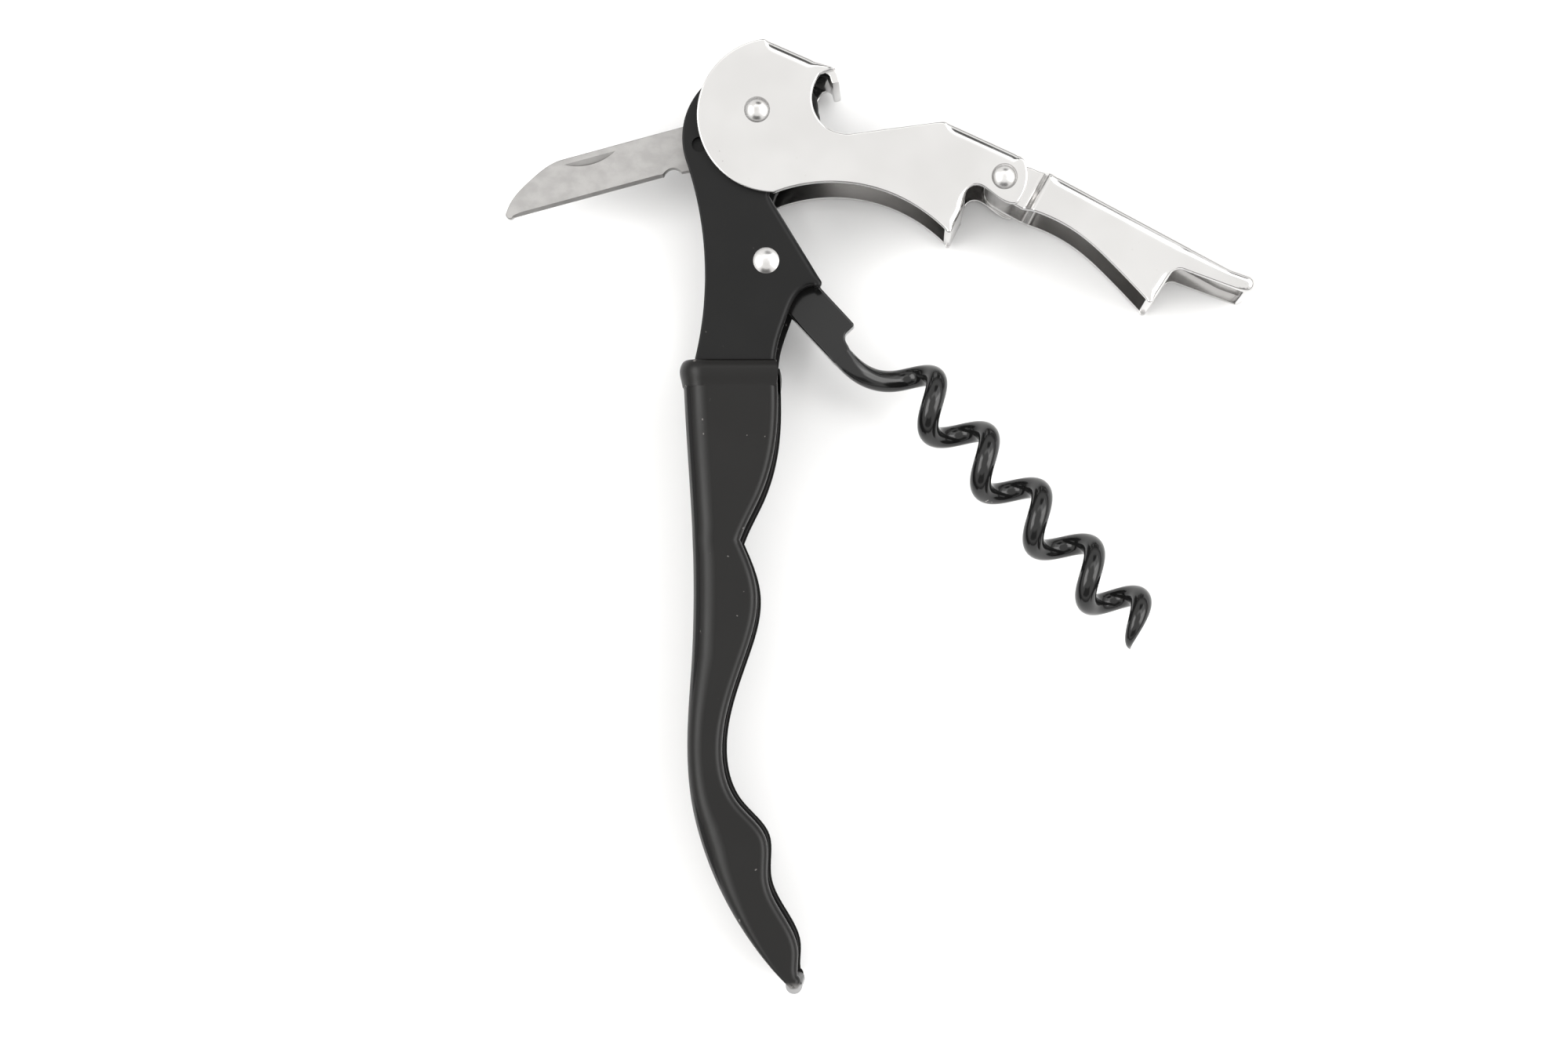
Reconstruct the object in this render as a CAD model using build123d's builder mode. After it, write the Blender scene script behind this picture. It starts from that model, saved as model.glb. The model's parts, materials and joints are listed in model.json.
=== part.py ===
"""Waiters corkscrew, lying flat and half open.

The object is symmetric about a mid-plane parallel to the table, apart from the worm and the nail
nick. Each moving piece is drawn in its own plane: x runs along the piece from its rivet, y is across.
"""

import os
from math import cos, pi, sin

from build123d import *

# ---- driving dimensions, millimetres and degrees -------------------------------------------------

# widths are half widths, measured from the mid-plane
CHANNEL_HALF = 4.75        # half the clear width between the frame's ears
FRAME_SHEET = 1.0
SLEEVE_WALL = 0.9
LEVER_SHEET = 1.0
LEVER_GAP = 0.15           # frame ear to main lever plate
HINGE_GAP = 0.10           # step lever's hinge plate to main lever plate

FRAME_HALF = CHANNEL_HALF + FRAME_SHEET
SLEEVE_HALF = FRAME_HALF + SLEEVE_WALL
LEVER_INNER = FRAME_HALF + LEVER_GAP
LEVER_HALF = LEVER_INNER + LEVER_SHEET
HINGE_HALF = LEVER_INNER - HINGE_GAP
HINGE_INNER = HINGE_HALF - LEVER_SHEET

# rivets and bushes
RIVET_RADIUS = 1.25
HEAD_RADIUS = 1.7
DOME_HEIGHT = 0.85
FLAT_HEAD_HEIGHT = 0.6
RUNNING = 0.05             # radial clearance of a rivet in a hole that turns on it
SIDE_PLAY = 0.05           # clearance each side of a piece that turns between two others
BUSH_RADIUS = 2.2

# pivots; the origin lies below the middle of the whole outline
LEVER_PIVOT = Vector(-15.7, 53.0)
WORM_PIVOT = LEVER_PIVOT + Vector(1.13, -19.5)
MAIN_ANGLE = -15.1
STEP_DISTANCE = 33.4
STEP_ANGLE = -28.3
KNIFE_ANGLE = 195.2
WORM_ANGLE = -47.1
STEP_PIVOT = LEVER_PIVOT + Vector(STEP_DISTANCE, 0).rotate(Axis.Z, MAIN_ANGLE)
MID_HEIGHT = LEVER_HALF + DOME_HEIGHT   # height of the mid-plane above the table

# frame and sleeve
HEAD_CENTRE = Vector(-0.26, -3.5)    # middle of the round back of the ears
FRAME_HEAD_RADIUS = 9.65
NOSE_RADIUS = 7.95         # round nose about the lever rivet, which the lever's top web sweeps round
GRIP_TOP = -32.4           # where the sleeve starts, below the lever rivet
GRIP_TOP_BACK = -9.95      # back and front of the sleeve there
GRIP_TOP_FRONT = 2.45
EAR_ROOT = GRIP_TOP - 3    # the ears' outline starts this far down, inside the sleeve
SLEEVE_REVEAL = 0.3        # the frame's edge stands this far inside the sleeve's front edge
SPINE_SHEET = 1.0
CHANNEL_BACK = SLEEVE_WALL + SPINE_SHEET     # from the back of the grip to the channel
SPINE_START = -37.5        # the spine and the sleeve's back are slotted for the blade down to here
SLOT_HALF = 1.5
PASSING = 40               # cuts and rectangles that pass right through a piece are this large
OPEN_FRONT = 8             # the channel's outline is repeated this much further forward
FLANGE_SHEET = 1.0
FLANGE_SLOT_HALF = 2.2     # gap between the front flanges, which the worm's tang swings through
GRIP_BACK_ROUND = 1.2
LIP_HEIGHT = 2.0
LIP_REACH = 0.35
LOCATING_HOLE_RADIUS = 1.0
LOCATING_HOLE = Vector(-7.58, -4.34)
FRAME_TIP = Vector(4.75, -114.3)
FRAME_TIP_RADIUS = 1.1

# levers
BEND_OVERLAP = 0.3         # a bent edge reaches this far into the plates it joins
HEAD_WEB = [(-1.29, 9.31), (8.5, 7.85), (9.4, 6.4)]     # outside of the cap lifter's web and claw
# the main lever's outer end is placed from the step rivet
MAIN_SPINE = [(STEP_DISTANCE - 8.9, 5.0), (STEP_DISTANCE + 1.6, 3.26)]
MAIN_TOOTH = [(STEP_DISTANCE - 4.3, -3.3), (STEP_DISTANCE - 4.2, -5.6), (STEP_DISTANCE - 4.85, -8.85)]
STEP_SHOULDER = (4.3, 5.2)                               # start and end of the step in width
STEP_SPINE = [(5.2, 3.4), (31.7, 3.45)]
STEP_END = [(31.7, 3.45), (34.3, 3.85), (35.5, 2.9), (34.6, 1.6)]
STEP_TOOTH = [(25.1, -0.7), (24.75, -5.3)]
SPINE_RUN = Vector(*MAIN_SPINE[1]) - Vector(*MAIN_SPINE[0])
SPINE_DISTANCE = abs(SPINE_RUN.cross(Vector(STEP_DISTANCE, 0) - Vector(*MAIN_SPINE[0])).Z) / SPINE_RUN.length
SPINE_CLEARANCE = 0.08     # the hinge plate turns this far inside the main lever's spine
HINGE_BOSS_RADIUS = SPINE_DISTANCE - LEVER_SHEET - SPINE_CLEARANCE

# knife
BLADE_THICKNESS = 1.2
BLADE_BACK = -1.65
BLADE_EDGE = 4.05
BLADE_LENGTH = 35.8
TANG_BOSS_RADIUS = 3.2
BEVEL_WIDTH = 1.1
EDGE_HALF = 0.12
NICK_DEPTH = 0.35

# worm
WIRE_RADIUS = 1.42
COIL_RADIUS = 2.75         # axis of the coil to the middle of the wire
COIL_OFFSET = 3.45         # axis of the coil to the line through the worm rivet
PITCH = 10.2
POINT_PITCH = 8.3
FIRST_TOP = 25.7           # from the worm rivet to the first top of the coil
PITCH_CHANGE = 3.5         # turns at the full pitch, counted from the first top
POINT_START = 4.1
POINT_ROOT = 0.04          # turns by which the point reaches into the wire
POINT_STEP = 0.03          # the point is this much thinner where it leaves the wire
POINT_SECTIONS = 7
POINT_END = 4.5
POINT_RADIUS = 0.25
WORM_TANG_THICKNESS = 3.0
WORM_TANG_TOP = 3.1
WORM_TANG_BOTTOM = -2.35
WORM_TANG_LENGTH = 13.6
LEAD_IN = -0.92            # the straight start of the wire lies this far below the rivet's line

MIDDLE = Plane.XY.offset(MID_HEIGHT)


def flat(pivot, angle, height):
    """A piece's own plane: x along the piece, height above the mid-plane."""
    return Plane(
        origin=(pivot.X, pivot.Y, MID_HEIGHT + height),
        x_dir=Vector(1, 0, 0).rotate(Axis.Z, angle),
        z_dir=(0, 0, 1),
    )


def handle_plane(height=0.0):
    return flat(LEVER_PIVOT, 0, height)


def main_plane(height=0.0):
    return flat(LEVER_PIVOT, MAIN_ANGLE, height)


def step_plane(height=0.0):
    return flat(STEP_PIVOT, STEP_ANGLE, height)


def knife_plane(height=0.0):
    return flat(LEVER_PIVOT, KNIFE_ANGLE, height)


def worm_plane(height=0.0):
    return flat(WORM_PIVOT, WORM_ANGLE, height)


def save(part, name):
    part.label = name
    export_step(part, f"parts/{name}.step")


def web(points, sheet, plane, half_width):
    """Bent sheet that joins two plates; the points are its outer face, its sheet lies to the right."""
    with BuildPart() as strip:
        with BuildSketch(plane):
            with BuildLine():
                outside = Polyline(*points)
                inside = offset(outside, amount=sheet, side=Side.RIGHT, closed=True)
            make_face()
        extrude(amount=half_width, both=True)
    return strip.part


def rivet(pivot, plate_half, head_height):
    """Rivet with a rounded head on each outer plate, turned about its own axis."""
    top = plate_half + head_height
    with BuildPart() as turned:
        with BuildSketch(Plane(origin=(pivot.X, pivot.Y, MID_HEIGHT), x_dir=(1, 0, 0), z_dir=(0, -1, 0))):
            with BuildLine():
                shank = Polyline(
                    (0, 0), (RIVET_RADIUS, 0), (RIVET_RADIUS, plate_half), (HEAD_RADIUS, plate_half)
                )
                dome = TangentArc((0, top), shank @ 1, tangent=(1, 0))
                Line(dome @ 0, shank @ 0)
            make_face()
        revolve(axis=Axis((pivot.X, pivot.Y, MID_HEIGHT), (0, 0, 1)), revolution_arc=360)
        mirror(about=MIDDLE)
    return turned.part


def bush(pivot, start, end, hole_radius):
    with BuildPart() as tube:
        with BuildSketch(flat(pivot, 0, start)):
            Circle(BUSH_RADIUS)
            Circle(hole_radius, mode=Mode.SUBTRACT)
        extrude(amount=end - start)
    return tube.part


os.makedirs("parts", exist_ok=True)

# ---- handle outlines -----------------------------------------------------------------------------

with BuildSketch() as grip_face:
    with BuildLine():
        back = Spline(
            (GRIP_TOP_BACK, GRIP_TOP),
            (-9.5, -41.0),
            (-8.55, -58.0),
            (-8.75, -72.0),
            (-9.25, -83.5),
            (-8.3, -92.5),
            (-5.2, -101.3),
            (4.3, -114.6),
            tangents=((0.05, -1), (0.72, -0.7)),
        )
        tip = ThreePointArc(back @ 1, (5.45, -114.3), (5.25, -112.9))
        waves = Spline(
            tip @ 1,
            (5.3, -109.7),
            (1.35, -100.6),
            (1.1, -95.0),
            (-2.72, -90.2),
            (-4.62, -84.2),
            (-1.9, -71.7),
            (-0.1, -62.9),
            (-2.3, -56.0),
            tangents=((-0.1, 1), (-0.45, 1)),
        )
        thumb = Spline(
            waves @ 1,
            (0.4, -50.15),
            (2.35, -43.0),
            (2.65, -38.0),
            (GRIP_TOP_FRONT, GRIP_TOP),
            tangents=((0.35, 1), (-0.06, 1)),
        )
        Line(thumb @ 1, back @ 0)
    make_face()

with BuildSketch() as ear_face:
    with BuildLine():
        neck = ThreePointArc((-9.05, EAR_ROOT), (-6.9, -19.9), (-9.3, -6.6))
        crown = ThreePointArc(
            neck @ 1,
            HEAD_CENTRE + Vector(FRAME_HEAD_RADIUS, 0).rotate(Axis.Z, 135),
            HEAD_CENTRE + Vector(FRAME_HEAD_RADIUS, 0).rotate(Axis.Z, 80),
        )
        brow_end = Vector(NOSE_RADIUS, 0).rotate(Axis.Z, 12)
        brow = ThreePointArc(
            crown @ 1,
            HEAD_CENTRE + Vector(FRAME_HEAD_RADIUS, 0).rotate(Axis.Z, 60),
            brow_end,
        )
        nose = ThreePointArc(
            brow_end,
            Vector(NOSE_RADIUS, 0).rotate(Axis.Z, -20),
            Vector(NOSE_RADIUS, 0).rotate(Axis.Z, -50),
        )
        throat = ThreePointArc(nose @ 1, (2.3, -8.4), (1.49, -10.96))
        slant = Line(throat @ 1, (8.3, -22.1))
        knob = ThreePointArc(slant @ 1, (8.1, -22.9), (7.3, -22.7))
        lower = Spline(
            knob @ 1,
            (5.93, -23.17),
            (3.78, -26.75),
            (2.55, -30.64),
            (2.2, EAR_ROOT),
            tangents=((-1, -0.1), (0, -1)),
        )
        Line(lower @ 1, neck @ 0)
    make_face()

# in the grip the frame fills the sleeve from its back wall almost to its front edge
with BuildSketch() as frame_grip_face:
    with Locations((SLEEVE_WALL, 0)):
        add(grip_face.sketch)
    with Locations((-SLEEVE_REVEAL, SLEEVE_REVEAL)):
        add(grip_face.sketch, mode=Mode.INTERSECT)
    with Locations(FRAME_TIP):
        Circle(FRAME_TIP_RADIUS)

# ---- handle --------------------------------------------------------------------------------------

with BuildPart() as knife_slot:
    with BuildSketch(handle_plane()):
        with Locations((0, SPINE_START)):
            Rectangle(PASSING, PASSING, align=(Align.MAX, Align.MIN))
    extrude(amount=SLOT_HALF, both=True)

with BuildPart() as handle_frame:
    with BuildSketch(handle_plane()):
        add(frame_grip_face.sketch)
    extrude(amount=FRAME_HALF, both=True)
    with BuildSketch(handle_plane()):
        add(ear_face.sketch)
    extrude(amount=FRAME_HALF, both=True)
    # channel between the ears, open in front, and at the back above the spine
    with BuildSketch(handle_plane()):
        with Locations((CHANNEL_BACK, 0), (CHANNEL_BACK + OPEN_FRONT, 0)):
            add(grip_face.sketch)
        with Locations((0, EAR_ROOT)):
            Rectangle(PASSING, 2 * PASSING, align=(Align.CENTER, Align.MIN))
    extrude(amount=CHANNEL_HALF, both=True, mode=Mode.SUBTRACT)
    add(knife_slot.part, mode=Mode.SUBTRACT)
    # flange along the slanted front edge of each ear
    with BuildSketch(handle_plane(FLANGE_SLOT_HALF)):
        with BuildLine():
            edge = Line((2.0, -11.8), (8.25, -22.1))
            offset(edge, amount=FLANGE_SHEET, side=Side.RIGHT, closed=True)
        make_face()
    extrude(amount=CHANNEL_HALF + BEND_OVERLAP - FLANGE_SLOT_HALF)
    mirror(about=MIDDLE)
    with BuildSketch(handle_plane()):
        Circle(RIVET_RADIUS + RUNNING)
        with Locations(LOCATING_HOLE):
            Circle(LOCATING_HOLE_RADIUS)
    extrude(amount=FRAME_HALF, both=True, mode=Mode.SUBTRACT)
    with BuildSketch(flat(WORM_PIVOT, 0, 0)):
        Circle(RIVET_RADIUS)
    extrude(amount=FRAME_HALF, both=True, mode=Mode.SUBTRACT)

# the room that the frame fills in the sleeve, open in front between the ears
with BuildPart() as sleeve_hollow:
    with BuildSketch(handle_plane()):
        add(frame_grip_face.sketch)
        with Locations((0, GRIP_TOP)):
            Rectangle(PASSING, PASSING, align=(Align.CENTER, Align.MIN))
    extrude(amount=FRAME_HALF, both=True)
    with BuildSketch(handle_plane()):
        with Locations((CHANNEL_BACK, 0), (CHANNEL_BACK + OPEN_FRONT, 0)):
            add(grip_face.sketch)
    extrude(amount=CHANNEL_HALF, both=True)

with BuildPart() as grip_sleeve:
    with BuildSketch(handle_plane()):
        add(grip_face.sketch)
    extrude(amount=SLEEVE_HALF, both=True)
    fillet(grip_sleeve.edges().sort_by(SortBy.LENGTH)[-2:], GRIP_BACK_ROUND)
    # rolled lip round the top
    with BuildSketch(handle_plane()):
        with Locations((GRIP_TOP_BACK - LIP_REACH, GRIP_TOP)):
            Rectangle(
                GRIP_TOP_FRONT - GRIP_TOP_BACK + 2 * LIP_REACH,
                LIP_HEIGHT,
                align=(Align.MIN, Align.MAX),
            )
    extrude(amount=SLEEVE_HALF + LIP_REACH, both=True)
    fillet(grip_sleeve.edges().filter_by(Axis.Z).group_by(Axis.X)[0], LIP_REACH)
    add(sleeve_hollow.part, mode=Mode.SUBTRACT)
    add(knife_slot.part, mode=Mode.SUBTRACT)

# ---- main lever ----------------------------------------------------------------------------------

with BuildSketch() as main_face:
    with BuildLine():
        head_arc = ThreePointArc((4.9, -9.85), (-7.28, -3.18), HEAD_WEB[0])
        crest = Line(head_arc @ 1, HEAD_WEB[1])
        lip = Line(crest @ 1, (6.7, 6.7))
        notch = Spline(
            lip @ 1,
            (6.3, 4.5),
            (7.46, 1.52),
            (9.77, 0.03),
            (12.4, 0.1),
            tangents=((-0.4, -1), (1, 0.25)),
        )
        shoulder = Line(notch @ 1, (STEP_DISTANCE - 9.8, 4.8))
        bend = ThreePointArc(shoulder @ 1, (STEP_DISTANCE - 9.3, 4.98), MAIN_SPINE[0])
        spine = Line(bend @ 1, MAIN_SPINE[1])
        end = ThreePointArc(spine @ 1, (STEP_DISTANCE + 3.0, 0.1), (STEP_DISTANCE + 2.5, -2.9))
        belly = Spline(
            end @ 1,
            (STEP_DISTANCE + 0.3, -2.95),
            (STEP_DISTANCE - 3.8, -2.25),
            MAIN_TOOTH[0],
            tangents=((-0.8, -0.6), (0.1, -1)),
        )
        tooth = Polyline(belly @ 1, MAIN_TOOTH[1], MAIN_TOOTH[2])
        point = ThreePointArc(tooth @ 1, (STEP_DISTANCE - 5.15, -9.0), (STEP_DISTANCE - 5.5, -8.7))
        arch = ThreePointArc(point @ 1, (STEP_DISTANCE - 15.4, -5.85), head_arc @ 0)
    make_face()

with BuildPart() as main_lever:
    with BuildSketch(main_plane(LEVER_INNER)):
        add(main_face.sketch)
    extrude(amount=LEVER_SHEET)
    mirror(about=MIDDLE)
    add(web(HEAD_WEB, LEVER_SHEET, main_plane(), LEVER_INNER + BEND_OVERLAP))
    add(web(MAIN_SPINE, LEVER_SHEET, main_plane(), LEVER_INNER + BEND_OVERLAP))
    add(web(MAIN_TOOTH, LEVER_SHEET, main_plane(), LEVER_INNER + BEND_OVERLAP))
    for pivot in (LEVER_PIVOT, STEP_PIVOT):
        with BuildSketch(flat(pivot, 0, 0)):
            Circle(RIVET_RADIUS)
        extrude(amount=LEVER_HALF, both=True, mode=Mode.SUBTRACT)

# ---- step lever ----------------------------------------------------------------------------------

with BuildSketch() as step_face:
    with BuildLine():
        crest = Polyline((STEP_SHOULDER[0], 3.1), (STEP_SPINE[0]), (STEP_SPINE[1]), STEP_END[1])
        nose = ThreePointArc(crest @ 1, STEP_END[2], STEP_END[3])
        under = Line(nose @ 1, (26.6, 0.45))
        heel = ThreePointArc(under @ 1, (25.6, 0.1), STEP_TOOTH[0])
        tooth = Line(heel @ 1, STEP_TOOTH[1])
        point = ThreePointArc(tooth @ 1, (24.35, -5.55), (23.9, -5.3))
        arch = Spline(
            point @ 1,
            (18.1, -3.4),
            (12.0, -1.95),
            (STEP_SHOULDER[0], -2.45),
            tangents=((-1, 0.35), (-1, -0.25)),
        )
        Line(arch @ 1, crest @ 0)
    make_face()

with BuildSketch() as hinge_face:
    Circle(HINGE_BOSS_RADIUS)
    with BuildLine():
        Polyline(
            (0, -HINGE_BOSS_RADIUS),
            (STEP_SHOULDER[1], -2.35),
            (STEP_SHOULDER[1], 3.2),
            (2.0, 2.75),
            (1.0, 2.0),
            close=True,
        )
    make_face()

with BuildPart() as step_lever:
    with BuildSketch(step_plane(LEVER_INNER)):
        add(step_face.sketch)
    extrude(amount=LEVER_SHEET)
    with BuildSketch(step_plane(HINGE_INNER)):
        add(hinge_face.sketch)
    extrude(amount=LEVER_SHEET)
    # joggle between the narrow hinge plates and the full width
    with BuildSketch(step_plane(HINGE_INNER)):
        add(step_face.sketch)
        with Locations((STEP_SHOULDER[0], 0)):
            Rectangle(
                STEP_SHOULDER[1] - STEP_SHOULDER[0],
                PASSING,
                align=(Align.MIN, Align.CENTER),
                mode=Mode.INTERSECT,
            )
    extrude(amount=LEVER_HALF - HINGE_INNER)
    mirror(about=MIDDLE)
    step_crest = [(STEP_SHOULDER[0] + 0.1, 3.15), *STEP_SPINE, *STEP_END[1:]]
    add(web(step_crest, LEVER_SHEET, step_plane(), LEVER_INNER + BEND_OVERLAP))
    add(web(STEP_TOOTH, LEVER_SHEET, step_plane(), LEVER_INNER + BEND_OVERLAP))
    with BuildSketch(flat(STEP_PIVOT, 0, 0)):
        Circle(RIVET_RADIUS + RUNNING)
    extrude(amount=HINGE_HALF, both=True, mode=Mode.SUBTRACT)

# ---- knife ---------------------------------------------------------------------------------------

with BuildPart() as knife_blade:
    with BuildSketch(knife_plane()):
        with BuildLine():
            back = Line((1.5, BLADE_BACK), (26.6, BLADE_BACK))
            drop = Spline(back @ 1, (31.4, -0.1), (BLADE_LENGTH - 0.3, 3.1), tangents=((1, 0), (0.6, 1)))
            tip = ThreePointArc(drop @ 1, (BLADE_LENGTH - 0.15, 3.9), (BLADE_LENGTH - 1.0, BLADE_EDGE))
            edge = Line(tip @ 1, (14.2, BLADE_EDGE))
            foil_notch = ThreePointArc(edge @ 1, (12.9, 3.35), (11.8, 4.2))
            heel = Polyline(foil_notch @ 1, (10.0, 4.35), (1.5, 2.9), back @ 0)
        make_face()
        Circle(TANG_BOSS_RADIUS)
    extrude(amount=BLADE_THICKNESS / 2, both=True)
    # ground bevel on both sides of the cutting edge
    blade = knife_plane()
    heel_end = blade.from_local_coords(edge @ 1)
    with BuildSketch(Plane(origin=heel_end, x_dir=blade.y_dir, z_dir=blade.x_dir)):
        for side in (-1, 1):
            with BuildLine():
                Polyline(
                    (-BEVEL_WIDTH, side * BLADE_THICKNESS / 2),
                    (EDGE_HALF, side * EDGE_HALF),
                    (EDGE_HALF, side * BLADE_THICKNESS),
                    (-BEVEL_WIDTH, side * BLADE_THICKNESS),
                    close=True,
                )
            make_face()
    extrude(amount=BLADE_LENGTH, mode=Mode.SUBTRACT)
    with BuildSketch(knife_plane(BLADE_THICKNESS / 2)):
        with BuildLine():
            nick = ThreePointArc((19.5, -0.85), (23.2, -0.1), (26.5, -0.85))
            Line(nick @ 1, nick @ 0)
        make_face()
    extrude(amount=-NICK_DEPTH, mode=Mode.SUBTRACT)
    with BuildSketch(flat(LEVER_PIVOT, 0, 0)):
        Circle(RIVET_RADIUS + RUNNING)
    extrude(amount=BLADE_THICKNESS, both=True, mode=Mode.SUBTRACT)

# ---- worm ----------------------------------------------------------------------------------------


def coil_point(turn):
    """Middle of the wire, in the worm's own plane, by turns from the first top."""
    along = FIRST_TOP + PITCH * min(turn, PITCH_CHANGE) + POINT_PITCH * max(turn - PITCH_CHANGE, 0)
    return (along, COIL_OFFSET + COIL_RADIUS * cos(2 * pi * turn), COIL_RADIUS * sin(2 * pi * turn))


def turns(start, end, steps):
    return [coil_point(start + (end - start) * step / steps) for step in range(steps + 1)]


with BuildPart() as worm:
    with BuildLine(worm_plane()) as wire:
        Spline(
            (WORM_TANG_LENGTH - 1.5, LEAD_IN, 0),
            (WORM_TANG_LENGTH + 1.2, LEAD_IN, 0),
            (18.6, -0.6, -0.35),
            *turns(-0.33, POINT_START, 54),
        )
    with BuildSketch(Plane(origin=wire.line @ 0, z_dir=wire.line % 0)):
        Circle(WIRE_RADIUS)
    sweep(path=wire.line)
    # the point starts inside the end of the wire and tapers over the last part of a turn
    with BuildLine(worm_plane()) as point_line:
        Spline(*turns(POINT_START - POINT_ROOT, POINT_END, 10))
    for step in range(POINT_SECTIONS + 1):
        share = step / POINT_SECTIONS
        with BuildSketch(Plane(origin=point_line.line @ share, z_dir=point_line.line % share)):
            Circle(POINT_RADIUS + (WIRE_RADIUS - POINT_STEP - POINT_RADIUS) * (1 - share**2))
    loft(ruled=True)
    with BuildSketch(worm_plane()):
        with BuildLine():
            top = Line((0, WORM_TANG_TOP), (WORM_TANG_LENGTH, WORM_TANG_TOP))
            step = Line(top @ 1, (WORM_TANG_LENGTH, 1.3))
            hollow = ThreePointArc(step @ 1, (14.2, 0.75), (15.4, 0.45))
            root = Polyline(hollow @ 1, (15.4, LEAD_IN - WIRE_RADIUS), (0, WORM_TANG_BOTTOM), top @ 0)
        make_face()
        with Locations((0, (WORM_TANG_TOP + WORM_TANG_BOTTOM) / 2)):
            Circle((WORM_TANG_TOP - WORM_TANG_BOTTOM) / 2)
    extrude(amount=WORM_TANG_THICKNESS / 2, both=True)
    with BuildSketch(worm_plane()):
        Circle(RIVET_RADIUS + RUNNING)
    extrude(amount=WORM_TANG_THICKNESS, both=True, mode=Mode.SUBTRACT)

# ---- rivets, bushes and spacer -------------------------------------------------------------------

with BuildPart() as step_spacer:
    with BuildSketch(flat(STEP_PIVOT, 0, 0)):
        Circle(BUSH_RADIUS)
        Circle(RIVET_RADIUS + RUNNING, mode=Mode.SUBTRACT)
    extrude(amount=HINGE_INNER, both=True)

save(handle_frame.part, "handle_frame")
save(grip_sleeve.part, "grip_sleeve")
save(main_lever.part, "main_lever")
save(step_lever.part, "step_lever")
save(knife_blade.part, "knife_blade")
save(worm.part, "worm")
save(rivet(LEVER_PIVOT, LEVER_HALF, DOME_HEIGHT), "lever_rivet")
save(rivet(STEP_PIVOT, LEVER_HALF, DOME_HEIGHT), "step_rivet")
save(rivet(WORM_PIVOT, FRAME_HALF, FLAT_HEAD_HEIGHT), "worm_rivet")
save(step_spacer.part, "step_spacer")

blade_side = BLADE_THICKNESS / 2 + SIDE_PLAY
tang_side = WORM_TANG_THICKNESS / 2 + SIDE_PLAY
save(bush(LEVER_PIVOT, blade_side, CHANNEL_HALF, RIVET_RADIUS + RUNNING), "knife_bush_upper")
save(bush(LEVER_PIVOT, -CHANNEL_HALF, -blade_side, RIVET_RADIUS + RUNNING), "knife_bush_lower")
save(bush(WORM_PIVOT, tang_side, CHANNEL_HALF, RIVET_RADIUS), "worm_bush_upper")
save(bush(WORM_PIVOT, -CHANNEL_HALF, -tang_side, RIVET_RADIUS), "worm_bush_lower")
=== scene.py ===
from math import atan2, cos, pi, radians, sin

import bmesh
import bpy
import numpy as np
from mathutils import Matrix, Vector
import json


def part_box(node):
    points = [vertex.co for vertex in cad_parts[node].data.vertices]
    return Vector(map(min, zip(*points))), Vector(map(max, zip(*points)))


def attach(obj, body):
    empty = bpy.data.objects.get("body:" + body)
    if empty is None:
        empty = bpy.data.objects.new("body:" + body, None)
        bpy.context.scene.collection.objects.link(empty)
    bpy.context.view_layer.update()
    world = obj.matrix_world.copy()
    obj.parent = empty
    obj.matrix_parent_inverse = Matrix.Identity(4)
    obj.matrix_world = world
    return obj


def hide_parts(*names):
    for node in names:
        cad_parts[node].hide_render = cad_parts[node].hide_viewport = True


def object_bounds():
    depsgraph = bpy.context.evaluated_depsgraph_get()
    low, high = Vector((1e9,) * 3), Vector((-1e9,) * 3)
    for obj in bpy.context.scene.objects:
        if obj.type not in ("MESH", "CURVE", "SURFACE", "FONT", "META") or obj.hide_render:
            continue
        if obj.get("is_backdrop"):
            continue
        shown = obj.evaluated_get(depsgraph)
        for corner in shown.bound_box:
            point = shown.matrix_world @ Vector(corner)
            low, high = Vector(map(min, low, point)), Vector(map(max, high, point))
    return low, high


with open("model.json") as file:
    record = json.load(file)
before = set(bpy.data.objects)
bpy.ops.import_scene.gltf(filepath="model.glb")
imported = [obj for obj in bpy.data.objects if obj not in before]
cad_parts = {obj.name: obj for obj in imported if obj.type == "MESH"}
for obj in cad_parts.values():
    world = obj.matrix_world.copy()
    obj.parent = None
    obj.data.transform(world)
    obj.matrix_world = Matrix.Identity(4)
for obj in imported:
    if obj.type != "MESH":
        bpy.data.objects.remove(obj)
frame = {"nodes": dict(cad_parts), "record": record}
cad_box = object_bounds()

MM = 0.001
pivots = {joint["name"]: Vector(joint["pos_m"]) / MM for joint in frame["record"]["behaviour"]["joints"]}


def half_width(node):
    """Half of a part's size across the mid-plane, in millimetres."""
    low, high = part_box(node)
    return (high.z - low.z) / MM / 2


# ---- sizes, millimetres and degrees --------------------------------------------------------------

LEVER_PIVOT = pivots["lever_pivot"]
STEP_PIVOT = pivots["step_pivot"]
WORM_PIVOT = pivots["worm_pivot"]
MID = LEVER_PIVOT.z
MAIN_ANGLE, STEP_ANGLE, KNIFE_ANGLE, WORM_ANGLE = -15.1, -28.3, 195.2, -47.1

# widths are half widths, measured from the mid-plane
SHEET = 1.0
HINGE_GAP = 0.1      # step lever's hinge plate to main lever plate
SLEEVE_WALL = 0.9
LEVER_HALF = half_width("main_lever")
LEVER_INNER = LEVER_HALF - SHEET
HINGE_INNER = LEVER_INNER - SHEET - HINGE_GAP
FRAME_HALF = half_width("handle_frame")
FRAME_INNER = FRAME_HALF - SHEET
LIP_HALF = half_width("grip_sleeve")
LIP_REACH = 0.35     # the rolled lip stands this far out of the sleeve's skin
SLEEVE_HALF = LIP_HALF - LIP_REACH
TANG_HALF = 1.5
BLADE_HALF = half_width("knife_blade")
RIVET_TOP = half_width("lever_rivet")
STUD_TOP = half_width("worm_rivet")
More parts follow.
